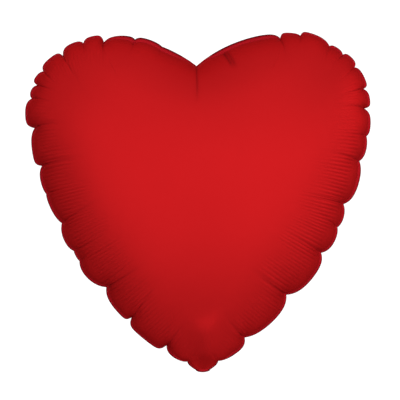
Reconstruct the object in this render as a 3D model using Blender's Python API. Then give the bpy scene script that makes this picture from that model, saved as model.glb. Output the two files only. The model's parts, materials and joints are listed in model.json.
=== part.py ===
"""Heart-shaped foil balloon, filled, with its filling tail folded up behind it.

Two heart-shaped foil panels are heat-sealed together along a flat rim. The gas swells them into
two domes and pulls the rim into puckers. At the heart's tip the rim is open: two clear films run
through the neck there as a one-way valve, and the tail below the neck folds up behind the heart.

Frame: metres, X to the heart's right side as seen from the front, Y to the back, Z up. The seam
lies in the plane y = 0, and the origin is the middle of the fold at the tip.
"""

import math

import bmesh
import bpy
import numpy as np
from mathutils import Vector

# Heart outline, measured on the filled balloon
HEART_WIDTH = 0.381
HEART_HEIGHT = 0.3685        # fold line to the tops of the lobes
HEART_DEPTH = 0.160          # over both domes
CLEFT_DROP = 0.034           # lobe tops down to the cleft
LOBE_TOP_X = 0.099           # middle of the heart out to a lobe's top
WIDEST_DROP = 0.079          # lobe tops down to the widest place
CLEFT_ANGLE = math.radians(38)
CLEFT_REACH = 0.035          # lengths of the curve handles at the outline's knots
LOBE_REACH_IN = 0.037
LOBE_REACH_OUT = 0.028
SIDE_REACH_UP = 0.060
SIDE_REACH_DOWN = 0.174
TIP_REACH = 0.033
TIP_TRIM = 0.0015            # what the straight fold takes off the round tip
CURVE_STEPS = 200

# Puckers, as (bearing from straight up in degrees about the heart's middle, depth, depth at the crest
# of the lobe before it, how far its pull reaches into the lobes before and after it)
HEART_MIDDLE_Z = 0.199
NECK_PUCKER = (174.4, 0.0050)
RIGHT_PUCKERS = [
    (28.7, 0.0050, -0.0007, 0.0050, 0.0015), (34.5, 0.0012, -0.0008, 0.0030, 0.0015),
    (43.4, 0.0023, -0.0042, 0.0080, 0.0020), (48, 0.0025, -0.0005, 0.0030, 0.0020),
    (53.2, 0.0035, -0.0015, 0.0025, 0.0030), (60.3, 0.0052, 0, 0.0015, 0.0040),
    (66, 0.0065, -0.0003, 0.0015, 0.0045), (74, 0.0026, -0.0012, 0.0035, 0.0060),
    (82, 0.0060, 0, 0.0060, 0.0090), (98, 0.0093, 0, 0.0080, 0.0090),
    (107, 0.0052, 0.0020, 0.0050, 0.0080), (119, 0.0076, -0.0003, 0.0070, 0.0070),
    (141, 0.0115, -0.0008, 0.0120, 0.0100), (163, 0.0100, 0.0015, 0.0140, 0.0050),
    (*NECK_PUCKER, 0.0012, 0.0080, 0.0050),
]
LEFT_PUCKERS = [
    (13.5, -0.0003, -0.0003, 0.0030, 0.0080), (22, 0.0003, -0.0036, 0.0030, 0.0030),
    (31, 0.0055, -0.0028, 0.0080, 0.0020), (37, 0.0022, -0.0030, 0.0030, 0.0030),
    (44, 0.0063, -0.0020, 0.0040, 0.0020), (51.7, 0.0058, 0.0002, 0.0030, 0.0040),
    (56.5, 0.0082, 0.0022, 0.0015, 0.0040), (61, 0.0068, 0.0032, 0.0030, 0.0050),
    (69.7, 0.0098, 0.0002, 0.0030, 0.0080), (81.7, 0.0108, 0.0034, 0.0025, 0.0070),
    (91.3, 0.0063, 0.0042, 0.0050, 0.0050), (103.5, 0.0095, 0.0046, 0.0090, 0.0100),
    (115.3, 0.0060, 0.0015, 0.0060, 0.0050), (120, 0.0052, 0.0043, 0.0030, 0.0080),
    (135, 0.0113, -0.0010, 0.0130, 0.0090), (150.3, 0.0085, 0.0016, 0.0020, 0.0035),
    (166, 0.0088, -0.0006, 0.0030, 0.0050), (*NECK_PUCKER, 0.0012, 0.0060, 0.0050),
]
CLEFT_PULL = 0.010
SCALLOP_STEP = 0.010         # longest side of a facet along the rim
NECK_STEPS = 3               # facets from a neck pucker round to the fold

# Domes
DOME_POWER = 0.50            # how steeply the domes rise from the seam
FRONT_TIP_SLOPE = 1.4        # rise of a dome per length up from the neck, which holds the skin down
BACK_TIP_SLOPE = 0.95        # less behind, where the folded tail lies on it
TIP_BLEND = 3                # how sharply that slope passes into the dome
PEAK_STEPS = 40              # places up the middle of the heart where its full height is looked for
RING_SHARES = [0.02, 0.07, 0.15, 0.28, 0.45, 0.65, 0.84]

# Films and seals, thicker than the real 0.05 mm so that they are solids
PLY = 0.0005
VALVE_FILM = 0.0003
GAP = 0.0003
RIM_WIDTH = 0.006
NECK_SEAL_WIDTH = 0.003
VALVE_CLEARANCE = 0.0006     # valve film's edge to the fused band beside it

# Filling tail and valve
TAIL_LENGTH = 0.070
TAIL_WIDTH = 0.034
NECK_LENGTH = 0.012          # over which the tail widens below the fold
TAIL_STEPS = 6               # facets along that widening edge
TAIL_STANDOFF = 0.0015       # folded tail to the back dome
VALVE_WIDTH = 0.0268
VALVE_REACH = 0.075          # fold up to the valve's inner end
VALVE_SETBACK = 0.005        # valve's outer end inside the tail's mouth
FLAP_START = 0.017           # fold up to where the back valve film comes free

# The layers across the neck, outwards from the seam plane
VALVE_INNER = GAP / 2
VALVE_OUTER = VALVE_INNER + VALVE_FILM
PLY_INNER = VALVE_OUTER + GAP
PLY_OUTER = PLY_INNER + PLY
FOLD_Y = PLY_OUTER + GAP / 2

SHARP_ANGLE = math.radians(40)


def clear_scene():
    """Take out whatever the file opened with."""
    for item in list(bpy.data.objects):
        bpy.data.objects.remove(item, do_unlink=True)


def make_material(name, colour, roughness, metallic=0.0, alpha=1.0):
    """One Principled material."""
    material = bpy.data.materials.new(name)
    material.use_nodes = True
    shader = material.node_tree.nodes["Principled BSDF"]
    shader.inputs["Base Color"].default_value = (*colour, 1.0)
    shader.inputs["Roughness"].default_value = roughness
    shader.inputs["Metallic"].default_value = metallic
    shader.inputs["Alpha"].default_value = alpha
    return material


def add_object(name, bm, material, parent=None):
    """Turn a bmesh into a named object, smooth except at its sharp edges."""
    mesh = bpy.data.meshes.new(name)
    bm.to_mesh(mesh)
    bm.free()
    mesh.materials.append(material)
    mesh.shade_smooth()
    mesh.set_sharp_from_angle(angle=SHARP_ANGLE)
    item = bpy.data.objects.new(name, mesh)
    bpy.context.scene.collection.objects.link(item)
    item.parent = parent
    return item


def add_axis(name, y, z, tilt=0.0):
    """An empty on a hinge's axis, turned about X."""
    axis = bpy.data.objects.new(name, None)
    bpy.context.scene.collection.objects.link(axis)
    axis.location = (0, y, z)
    axis.rotation_euler = (tilt, 0, 0)
    return axis


# Outline


def bezier_points(start, start_handle, end_handle, end):
    """Points along one cubic curve, its first point included and its last left out."""
    points = []
    for step in range(CURVE_STEPS):
        t = step / CURVE_STEPS
        u = 1 - t
        middle = 3 * u * u * t * start_handle + 3 * u * t * t * end_handle
        points.append(u**3 * start + middle + t**3 * end)
    return points


def half_heart():
    """The smooth right half of the heart, from the cleft round to the tip, as (x, z) points."""
    cleft = Vector((0, HEART_HEIGHT - CLEFT_DROP))
    lobe = Vector((LOBE_TOP_X, HEART_HEIGHT))
    side = Vector((HEART_WIDTH / 2, HEART_HEIGHT - WIDEST_DROP))
    tip = Vector((0, -TIP_TRIM))
    right = Vector((1, 0))
    up = Vector((0, 1))
    cleft_way = Vector((math.cos(CLEFT_ANGLE), math.sin(CLEFT_ANGLE)))
    points = bezier_points(cleft, cleft + CLEFT_REACH * cleft_way, lobe - LOBE_REACH_IN * right, lobe)
    points += bezier_points(lobe, lobe + LOBE_REACH_OUT * right, side + SIDE_REACH_UP * up, side)
    points += bezier_points(side, side - SIDE_REACH_DOWN * up, tip + TIP_REACH * right, tip)
    return np.array([tuple(point) for point in points + [tip]])


def pull_left(away, reach, span):
    """Share of a pucker's pull left at a length away from it: 1 at it, 0 a whole span away."""
    end = math.exp(-span / reach)
    return (math.exp(-away / reach) - end) / (1 - end)


def scallop_places(base_run, base_bearing, puckers):
    """Places along the smooth outline, each with its depth, closer together at the puckers."""
    rows = [(0, 0, 0, CLEFT_PULL, CLEFT_PULL), *puckers]
    stops = [np.interp(row[0], base_bearing, base_run) for row in rows]
    places = []
    for before, after, start, stop in zip(rows, rows[1:], stops, stops[1:]):
        span = stop - start
        count = max(3, math.ceil(span / SCALLOP_STEP))
        for step in range(count):
            share = 0.5 - 0.5 * math.cos(math.pi * step / count)
            depth = after[2]
            depth += (before[1] - after[2]) * pull_left(share * span, before[4], span)
            depth += (after[1] - after[2]) * pull_left((1 - share) * span, after[3], span)
            places.append((start + share * span, depth))
    return places + [(stops[-1], puckers[-1][1])]


def puckered_half(puckers):
    """Rim and seam points of the right half, from the cleft to the neck pucker."""
    base = half_heart()
    steps = np.linalg.norm(np.diff(base, axis=0), axis=1)
    run = np.concatenate([[0], np.cumsum(steps)])
    bearing = np.degrees(np.arctan2(base[:, 0], base[:, 1] - HEART_MIDDLE_Z))
    tangent = np.gradient(base, run, axis=0)
    normal = np.stack([-tangent[:, 1], tangent[:, 0]], axis=1)
    normal[0] = (0, 1)
    rim, seam = [], []
    for place, depth in scallop_places(run, bearing, puckers):
        point = np.array([np.interp(place, run, base[:, axis]) for axis in (0, 1)])
        outward = np.array([np.interp(place, run, normal[:, axis]) for axis in (0, 1)])
        outward /= np.linalg.norm(outward)
        rim.append(point - outward * depth)
        seam.append(point - outward * (depth + RIM_WIDTH))
    return rim, seam


def neck_lobe(pucker):
    """Rim and seam points of the round neck between its two puckers, its fold trimmed flat."""
    rise = pucker[1] + TIP_TRIM
    radius = (pucker[0] ** 2 + rise**2) / (2 * rise)
    centre_z = radius - TIP_TRIM
    start = math.atan2(pucker[0], centre_z - pucker[1])
    fold = math.acos(centre_z / radius)
    right = [start + (fold - start) * (step + 1) / NECK_STEPS for step in range(NECK_STEPS)]
    rim, seam = [], []
    for angle in right + [0] + [-angle for angle in reversed(right)]:
        outward = np.array([math.sin(angle), -math.cos(angle)])
        point = np.array([0, centre_z]) + outward * radius
        rim.append(np.array([point[0], max(point[1], 0)]))
        seam.append(point - outward * RIM_WIDTH)
    return rim, seam


def heart_loops():
    """Rim and seam loops, clockwise from the cleft, and the place of the fold's middle in them."""
    right_rim, right_seam = puckered_half(RIGHT_PUCKERS)
    left_rim, left_seam = puckered_half(LEFT_PUCKERS)
    neck_rim, neck_seam = neck_lobe(right_rim[-1])
    mirror = np.array([-1, 1])
    rim = right_rim + neck_rim + [point * mirror for point in reversed(left_rim[1:])]
    seam = right_seam + neck_seam + [point * mirror for point in reversed(left_seam[1:])]
    return np.array(rim), np.array(seam), len(right_rim) + NECK_STEPS


# Domes


def inside_share(points, seam):
    """How deep each point lies inside the seam: one over the sum of its mean value weights."""
    ray = seam[None, :, :] - points[:, None, :]
    length = np.linalg.norm(ray, axis=2)
    after = np.roll(ray, -1, axis=1)
    cross = ray[..., 0] * after[..., 1] - ray[..., 1] * after[..., 0]
    dot = (ray * after).sum(axis=2)
    half_tangent = cross / (length * np.roll(length, -1, axis=1) + dot)
    weight = (half_tangent + np.roll(half_tangent, 1, axis=1)) / length
    return 1 / np.abs(weight.sum(axis=1))


def dome_heights(points, seam, tip_slope):
    """Height of a filled panel's skin above its flat rim."""
    full = HEART_DEPTH / 2 - PLY_OUTER
    low, high = seam[:, 1].min(), HEART_HEIGHT - CLEFT_DROP - RIM_WIDTH
    centre_line = [(0, z) for z in np.linspace(low, high, PEAK_STEPS)[1:-1]]
    places = np.vstack([points, centre_line])
    share = inside_share(places, seam)
    dome = (share / share[len(points):].max()) ** DOME_POWER * full
    slope = tip_slope * np.maximum(places[:, 1] - seam[:, 1].min(), GAP)
    held = (dome**-TIP_BLEND + slope**-TIP_BLEND) ** (-1 / TIP_BLEND)
    return full * held[:len(points)] / held[len(points):].max()


def build_panel(name, side, rim, seam, material):
    """One foil panel, flat rim and dome in one film; side is -1 for the front, 1 for the back."""
    middle = np.array([0, HEART_MIDDLE_Z])
    tip_slope = FRONT_TIP_SLOPE if side < 0 else BACK_TIP_SLOPE
    rows = [(rim, np.zeros(len(rim))), (seam, np.zeros(len(seam)))]
    for share in RING_SHARES:
        ring = seam + (middle - seam) * share
        rows.append((ring, dome_heights(ring, seam, tip_slope)))
    bm = bmesh.new()
    grid = []
    for ring, heights in rows:
        places = [(x, side * (PLY_OUTER + height), z) for (x, z), height in zip(ring, heights)]
        grid.append([bm.verts.new(place) for place in places])
    top_height = dome_heights(middle[None, :], seam, tip_slope)[0]
    top = bm.verts.new((0, side * (PLY_OUTER + top_height), HEART_MIDDLE_Z))
    for index in range(len(rim)):
        after = (index + 1) % len(rim)
        for outer, inner in zip(grid, grid[1:]):
            bm.faces.new((outer[index], outer[after], inner[after], inner[index]))
        bm.faces.new((grid[-1][index], grid[-1][after], top))
    if side < 0:
        bmesh.ops.reverse_faces(bm, faces=bm.faces)
    bmesh.ops.triangulate(bm, faces=bm.faces)
    panel = add_object(name, bm, material)
    film = panel.modifiers.new("film", "SOLIDIFY")
    film.thickness = PLY
    film.offset = -1
    return panel


# Flat films and seals


def build_strip(name, left, right, layer, material, axis=None):
    """A flat film between two rows of (x, z) points; layer is its nearest and farthest y."""
    origin = axis.location if axis else Vector((0, 0, 0))
    bm = bmesh.new()
    sheets = []
    for y in layer:
        rows = [[(x, y - origin.y, z - origin.z) for x, z in pair] for pair in zip(left, right)]
        sheets.append([[bm.verts.new(place) for place in row] for row in rows])
    front, back = sheets
    for index in range(len(front) - 1):
        for sheet in sheets:
            bm.faces.new(sheet[index] + sheet[index + 1][::-1])
        for edge in (0, 1):
            near = [front[index][edge], front[index + 1][edge]]
            bm.faces.new(near + [back[index + 1][edge], back[index][edge]])
    for index in (0, -1):
        bm.faces.new(front[index] + back[index][::-1])
    bmesh.ops.recalc_face_normals(bm, faces=bm.faces)
    return add_object(name, bm, material, axis)


def band_edges(rim, seam, fold_at):
    """Outer and inner edges of the fused band, from the fold's left end round to its right."""
    outer = np.roll(rim, -(fold_at + 1), axis=0)[:-1]
    inner = np.roll(seam, -(fold_at + 1), axis=0)[:-1]
    inner[:NECK_STEPS] = outer[:NECK_STEPS] + (NECK_SEAL_WIDTH, 0)
    inner[-NECK_STEPS:] = outer[-NECK_STEPS:] - (NECK_SEAL_WIDTH, 0)
    return outer, inner


def neck_valve_edges(bottom, top, band_inner):
    """Left and right edges of a valve film in the neck, clear of the fused band beside it."""
    left_side = band_inner[:NECK_STEPS + 1]
    right_side = band_inner[::-1][:NECK_STEPS + 1]
    bends = [z for z in left_side[:, 1] if bottom + GAP < z < top - GAP]
    left, right = [], []
    for z in [bottom] + bends + [top]:
        room = min(
            -np.interp(z, left_side[:, 1], left_side[:, 0]),
            np.interp(z, right_side[:, 1], right_side[:, 0]),
        )
        half = min(VALVE_WIDTH / 2, room - VALVE_CLEARANCE)
        left.append((-half, z))
        right.append((half, z))
    return left, right


def tail_edges(fold_half, inset, bottom):
    """Right edge of a tail film, drawn in by inset, from the fold down to its bottom."""
    edge = []
    for step in range(TAIL_STEPS + 1):
        depth = GAP / 2 + (NECK_LENGTH - GAP / 2) * step / TAIL_STEPS
        share = math.sin(math.pi / 2 * depth / NECK_LENGTH)
        half = fold_half + (TAIL_WIDTH / 2 - fold_half) * share
        edge.append((half - inset, -depth))
    return edge + [(TAIL_WIDTH / 2 - inset, -bottom)]


def build_tail(axis, fold_half, foil, seal, film):
    """The two plies, two side seals and two valve films below the fold."""
    edge = tail_edges(fold_half, 0, TAIL_LENGTH)
    band = tail_edges(fold_half, NECK_SEAL_WIDTH, TAIL_LENGTH)
    valve = tail_edges(fold_half, NECK_SEAL_WIDTH + VALVE_CLEARANCE, TAIL_LENGTH - VALVE_SETBACK)
    mirrored = [[(-x, z) for x, z in row] for row in (edge, band, valve)]
    build_strip("tail_front_ply", mirrored[0], edge, (-PLY_OUTER, -PLY_INNER), foil, axis)
    build_strip("tail_back_ply", mirrored[0], edge, (PLY_INNER, PLY_OUTER), foil, axis)
    build_strip("tail_seal_left", mirrored[0], mirrored[1], (-VALVE_OUTER, VALVE_OUTER), seal, axis)
    build_strip("tail_seal_right", band, edge, (-VALVE_OUTER, VALVE_OUTER), seal, axis)
    build_strip("tail_valve_front_film", mirrored[2], valve, (-VALVE_OUTER, -VALVE_INNER), film, axis)
    build_strip("tail_valve_back_film", mirrored[2], valve, (VALVE_INNER, VALVE_OUTER), film, axis)


def tail_fold_angle(seam):
    """How far the tail folds up from hanging straight down, in whole degrees, to clear the dome."""
    angles = []
    for x in np.linspace(-TAIL_WIDTH / 2, TAIL_WIDTH / 2, 5):
        heights = np.linspace(seam[:, 1].min() + GAP, TAIL_LENGTH, 60)
        points = np.array([(x, z) for z in heights])
        rises = dome_heights(points, seam, BACK_TIP_SLOPE) + PLY_OUTER - FOLD_Y
        for z, y in zip(heights, rises):
            reach = math.hypot(y, z)
            if reach < TAIL_LENGTH + TAIL_STANDOFF:
                angles.append(math.atan2(y, -z) - math.asin(min(1, TAIL_STANDOFF / reach)))
    return math.floor(math.degrees(min(angles)))


def build_balloon():
    """Every piece, in place."""
    clear_scene()
    foil = make_material("red satin foil", (0.60, 0.012, 0.016), 0.35, metallic=0.6)
    seal = make_material("red heat-sealed edge", (0.38, 0.010, 0.016), 0.45, metallic=0.3)
    film = make_material("clear valve film", (0.85, 0.86, 0.88), 0.20, alpha=0.4)

    rim, seam, fold_at = heart_loops()
    build_panel("front_panel", -1, rim, seam, foil)
    build_panel("back_panel", 1, rim, seam, foil)
    outer, inner = band_edges(rim, seam, fold_at)
    build_strip("rim_seal", outer, inner, (-VALVE_OUTER, VALVE_OUTER), seal)

    left, right = neck_valve_edges(GAP / 2, VALVE_REACH, inner)
    build_strip("valve_front_film", left, right, (-VALVE_OUTER, -VALVE_INNER), film)
    left, right = neck_valve_edges(GAP / 2, FLAP_START - GAP, inner)
    build_strip("valve_back_film", left, right, (VALVE_INNER, VALVE_OUTER), film)
    flap_axis = add_axis("valve_flap_axis", VALVE_INNER, FLAP_START)
    left, right = neck_valve_edges(FLAP_START, VALVE_REACH, inner)
    build_strip("valve_flap_film", left, right, (VALVE_INNER, VALVE_OUTER), film, flap_axis)

    tail_axis = add_axis("tail_axis", FOLD_Y, 0, math.radians(tail_fold_angle(seam)))
    build_tail(tail_axis, outer[-1][0], foil, seal, film)


build_balloon()
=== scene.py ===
"""The finished look of a heart-shaped foil balloon: film, seals, valve, stage and camera."""

import json
import math

import bpy
import numpy as np
from bpy.props import FloatProperty, IntProperty, PointerProperty, StringProperty
from mathutils import Matrix, Vector


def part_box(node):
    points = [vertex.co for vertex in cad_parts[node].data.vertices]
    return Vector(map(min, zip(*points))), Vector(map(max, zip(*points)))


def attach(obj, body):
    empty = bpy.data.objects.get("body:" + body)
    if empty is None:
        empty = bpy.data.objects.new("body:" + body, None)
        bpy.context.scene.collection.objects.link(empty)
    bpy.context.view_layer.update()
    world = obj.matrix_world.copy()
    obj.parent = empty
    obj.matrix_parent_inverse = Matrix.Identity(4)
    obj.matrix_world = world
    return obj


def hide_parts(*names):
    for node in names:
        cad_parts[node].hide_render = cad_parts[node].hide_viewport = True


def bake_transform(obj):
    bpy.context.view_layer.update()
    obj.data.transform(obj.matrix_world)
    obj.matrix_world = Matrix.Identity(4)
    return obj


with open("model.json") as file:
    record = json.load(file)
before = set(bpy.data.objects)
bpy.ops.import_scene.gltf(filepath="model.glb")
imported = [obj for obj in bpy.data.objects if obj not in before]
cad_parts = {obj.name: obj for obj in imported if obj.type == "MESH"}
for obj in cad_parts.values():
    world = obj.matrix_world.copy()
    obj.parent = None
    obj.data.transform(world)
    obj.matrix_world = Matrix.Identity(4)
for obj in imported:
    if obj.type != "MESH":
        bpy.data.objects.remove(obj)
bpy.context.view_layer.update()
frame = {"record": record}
PANEL_LOW = Vector(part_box("front_panel")[0])
TAIL_LOW, TAIL_HIGH = (Vector(corner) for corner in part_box("tail_back_ply"))
JOINTS = {joint["name"]: joint for joint in frame["record"]["behaviour"]["joints"]}
FOLD_Y = JOINTS["tail_fold"]["pos_m"][1]
FOLD_ANGLE = math.radians(JOINTS["tail_fold"]["range_deg"][1])
FLAP_START = JOINTS["valve_flap"]["pos_m"][2]
VALVE_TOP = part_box("valve_front_film")[1][2]
VALVE_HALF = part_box("valve_front_film")[1][0]

bl_info = {
    "name": "Heart Foil Balloon",
    "version": (1, 0, 0),
    "blender": (4, 5, 0),
    "location": "View3D > Sidebar > Balloon",
    "description": "Builds a filled heart-shaped foil balloon with its tail, valve and stage",
    "category": "Add Mesh",
}

MM = 0.001
MADE = {}                                 # what is worked out once and shared by the pieces

# Share of the way from the seam to the middle where the fine rows end, and where the relief fades out
NEAR_ROWS, NEAR_END = 42, 0.56
FAR_ROWS = 16
RELIEF_FADE = (0.46, 0.56)
INNER_STEP = 4                            # the far rows take every fourth point of the near ones
SEAM_ROWS = 14                            # rows that feel each point of the seam
RIM_SHARES = (1, 0.8, 0.6, 0.4, 0.2)      # rings across the rim, from its edge in to the seam

# Two short creases on the right shoulder, in mm: start, end and depth
SHOULDER_CREASES = (((30, 347), (39, 329), 1.5), ((34, 347), (42, 331), 1.1))

VALVE_OFFSET = 0.12 * MM                  # of each valve film from the plane of the seam
VALVE_SHORT = 5 * MM                      # from the valve's outer end to the tail's mouth
VALVE_WIDEN = 16 * MM                     # length over which the valve widens above the fold

# Soft boxes: name, place, size and watts
SOFT_BOXES = [
    ("key_right", (1.01, -2.16, -0.06), 2.0, 16.5),
    ("key_left", (-1.01, -2.16, -0.06), 2.0, 16.5),
    ("key_above", (0.0, -2.12, 1.31), 2.0, 10.5),
    ("right_front", (2.07, -1.19, -0.06), 2.0, 7),
    ("right_side", (2.36, -0.08, 0.60), 2.0, 12),
    ("left_side", (-2.18, -0.58, 1.01), 2.0, 5),
    ("back_fill", (-0.6, 2.4, 0.8), 2.4, 34),
]
WORLD_GLOW = 0.59

# Puckers about the heart's middle: bearing from straight up in degrees, depth in mm, depth at the
# crest of the lobe before it, how far the pucker pulls the lobes before and after it in, length of
# the crease that runs in from it, and how strongly the film before it is rippled, from 0 to 1.
RIGHT_PUCKERS = [
    (28.7, 5.0, -0.7, 5, 1.5, 12, 0.0), (34.5, 1.2, -0.8, 3, 1.5, 5, 0.1), (43.4, 2.3, -4.2, 8, 2, 10, 0.1),
    (48, 2.5, -0.5, 3, 2, 8, 0.1), (53.2, 3.5, -1.5, 2.5, 3, 12, 0.1), (60.3, 5.2, 0, 1.5, 4, 14, 0.2),
    (66, 6.5, -0.3, 1.5, 4.5, 18, 0.4), (74, 2.6, -1.2, 3.5, 6, 8, 0.6), (82, 6.0, 0, 6, 9, 24, 0.7),
    (98, 9.3, 0, 8, 9, 26, 0.9), (107, 5.2, 2, 5, 8, 16, 1.0), (119, 7.6, -0.3, 7, 7, 22, 1.0),
    (141, 11.5, -0.8, 12, 10, 26, 1.0), (163, 10, 1.5, 14, 5, 20, 1.0), (174.4, 5.0, 1.2, 8, 5, 10, 0.2),
]
LEFT_PUCKERS = [
    (13.5, -0.3, -0.3, 3, 8, 0, 0.0), (22, 0.3, -3.6, 3, 3, 8, 0.0), (31, 5.5, -2.8, 8, 2, 16, 0.1),
    (37, 2.2, -3, 3, 3, 8, 0.2), (44, 6.3, -2, 4, 2, 22, 0.6), (51.7, 5.8, 0.2, 3, 4, 12, 0.3),
    (56.5, 8.2, 2.2, 1.5, 4, 12, 0.1), (61, 6.8, 3.2, 3, 5, 16, 0.2), (69.7, 9.8, 0.2, 3, 8, 20, 0.3),
    (81.7, 10.8, 3.4, 2.5, 7, 26, 1.0), (91.3, 6.3, 4.2, 5, 5, 8, 1.0), (103.5, 9.5, 4.6, 9, 10, 26, 1.0),
    (115.3, 6.0, 1.5, 6, 5, 18, 1.0), (120, 5.2, 4.3, 3, 8, 10, 1.0), (135, 11.3, -1.0, 13, 9, 26, 1.0),
    (150.3, 8.5, 1.6, 2, 3.5, 24, 1.0), (166, 8.8, -0.6, 3, 5, 18, 1.0), (174.4, 5.0, 1.2, 6, 5, 10, 0.2),
]


def length(name, description, default, **more):
    """A property that holds a length in metres."""
    return FloatProperty(
        name=name, description=description, default=default, unit="LENGTH", precision=4, **more
    )


class HeartShape(bpy.types.PropertyGroup):
    """Outline and domes of the filled heart."""

    width: length("Width", "Across the filled heart, without its puckers", 0.381)
    height: length("Height", "From the fold at the tip to the tops of the lobes", 0.3685)
    depth: length("Depth", "Over both domes", -2 * PANEL_LOW.y)
    middle_z: length("Middle", "Height that the puckers' bearings are taken from", 0.199)
    cleft_drop: length("Cleft drop", "From the tops of the lobes down to the cleft", 0.034)
    lobe_top_x: length("Lobe top", "From the middle out to the top of a lobe", 0.099)
    widest_drop: length("Widest drop", "From the tops of the lobes down to the widest place", 0.079)
    tip_trim: length("Tip trim", "What the straight fold takes off the round tip", 0.0015)
    rim_width: length("Rim width", "Flat heat-sealed rim", 0.006)
    neck_rim: length("Neck rim", "Flat heat-sealed rim beside the neck", 0.0016)
    fullness: FloatProperty(name="Fullness", description="Exponent of the domes' rise", default=0.50)
    front_slope: FloatProperty(
        name="Front slope", description="Rise of the front dome from the neck", default=1.4
    )
    back_slope: FloatProperty(
        name="Back slope", description="Rise of the back dome from the neck, under the tail", default=0.95
    )
    back_hold: length("Back hold", "From the fold up to where the back dome starts to rise", 0.0045)
    neck_spread: FloatProperty(
        name="Neck spread", description="How fast the neck's hold on the front dome eases sideways",
        default=0.6,
    )
    spacing: length("Spacing", "Between points along the rim", 0.0009)


class FilmRelief(bpy.types.PropertyGroup):
    """Creases and ripples of the stretched film."""

    gap: length("Half gap", "Film to the plane of the seam", 0.0003)
    curl_top: FloatProperty(
        name="Curl at the lobes", description="Turn of the rim to the back beside the cleft",
        default=math.radians(45), unit="ROTATION",
    )
    curl_side: FloatProperty(
        name="Curl at the sides", description="Turn of the rim to the back elsewhere",
        default=math.radians(105), unit="ROTATION",
    )
    crease: length("Crease depth", "Of the crease at the deepest pucker", 0.0026)
    ripple: length("Ripple height", "Of the fine ripples across the rim", 0.00042)
    ripple_pitch: length("Ripple pitch", "From one fine ripple to the next", 0.0043)
    ridge: length("Ridge height", "Of the soft ridge that rises from the neck", 0.0045)
    valley: length("Valley depth", "Of the fold below the cleft", 0.0010)


class TailShape(bpy.types.PropertyGroup):
    """Filling tail below the fold."""

    length: length("Length", "From the fold to the open mouth", 0.070)
    width: length("Width", "Across the tail", TAIL_HIGH.x - TAIL_LOW.x)
    neck: length("Neck", "Length over which the tail widens", 0.012)
    seal: length("Side seal", "Width of the seal along each side", 0.003)
    mouth: length("Mouth", "How far the outer ply lifts at the mouth", 0.0010)
    rows: IntProperty(name="Rows", description="Rows of points along the tail", default=90)


class Finish(bpy.types.PropertyGroup):
    """Colours of the films, as sRGB hex."""

    foil: StringProperty(name="Foil", description="Satin red film", default="#D21E21")
    foil_deep: StringProperty(name="Foil, deep", description="Its darker drift", default="#CC1C1F")
    # painted shade: the colour that creases and ripple valleys are darkened towards
    crease: StringProperty(name="Crease", description="Down in a crease", default="#6E1016")
    # partly painted shade: the rim colour is set darker than the foil, besides being the seal's own tint
    rim: StringProperty(name="Rim", description="Heat-sealed rim", default="#BC1A24")
    # painted shade: the dark colour along the rim's outline and on the edge bands; it also tints the foil's
    # reflections
    edge: StringProperty(name="Edge", description="Cut edge of the sealed rim", default="#480A12")
    valve: StringProperty(name="Valve", description="Clear valve film", default="#E4E6EA")
    floor: StringProperty(name="Floor", description="Studio floor and walls", default="#F4F4F4")


class Studio(bpy.types.PropertyGroup):
    """Camera and lights."""

    distance: length("Camera distance", "Camera to the plane of the seam", 1.8)
    aim_x: length("Aim across", "Point at the middle of the picture", 0.0007)
    aim_z: length("Aim height", "Point at the middle of the picture", 0.1868)
    frame: length("Frame", "Width of the picture in the plane of the seam", 0.4408)
    tilt: FloatProperty(
        name="Tilt", description="Turn of the camera", default=math.radians(1.2), unit="ROTATION"
    )


# ---- Outline ----


def cubic(start, start_handle, end_handle, end, steps=300):
    """Points along one cubic curve, its last point left out."""
    t = np.linspace(0, 1, steps, endpoint=False)[:, None]
    u = 1 - t
    return u**3 * start + 3 * u * u * t * start_handle + 3 * u * t * t * end_handle + t**3 * end


def smooth_half(shape):
    """Right half of the heart without puckers: points, run from the cleft, and outward normals."""
    cleft = np.array([0, shape.height - shape.cleft_drop])
    lobe = np.array([shape.lobe_top_x, shape.height])
    side = np.array([shape.width / 2, shape.height - shape.widest_drop])
    tip = np.array([0, -shape.tip_trim])
    cleft_way = np.array([math.cos(math.radians(38)), math.sin(math.radians(38))])
    right, up = np.array([1, 0]), np.array([0, 1])
    points = np.vstack([
        cubic(cleft, cleft + 35 * MM * cleft_way, lobe - 37 * MM * right, lobe),
        cubic(lobe, lobe + 28 * MM * right, side + 60 * MM * up, side),
        cubic(side, side - 174 * MM * up, tip + 33 * MM * right, tip),
        [tip],
    ])
    run = np.concatenate([[0], np.cumsum(np.linalg.norm(np.diff(points, axis=0), axis=1))])
    along = np.gradient(points, run, axis=0)
    outward = np.stack([-along[:, 1], along[:, 0]], axis=1)
    outward /= np.linalg.norm(outward, axis=1)[:, None]
    outward[0] = up
    return points, run, outward


def pucker_runs(shape, puckers):
    """Where each pucker stands along the smooth half."""
    points, run, _ = smooth_half(shape)
    bearing = np.degrees(np.arctan2(points[:, 0], points[:, 1] - shape.middle_z))
    return np.interp([pucker[0] for pucker in puckers], bearing, run)


def pull(away, reach, span):
    """How much of a pucker is left at a length away from it: 1 at it and 0 a lobe's span away."""
    end = np.exp(-span / reach)
    return (np.exp(-away / reach) - end) / (1 - end)


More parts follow.
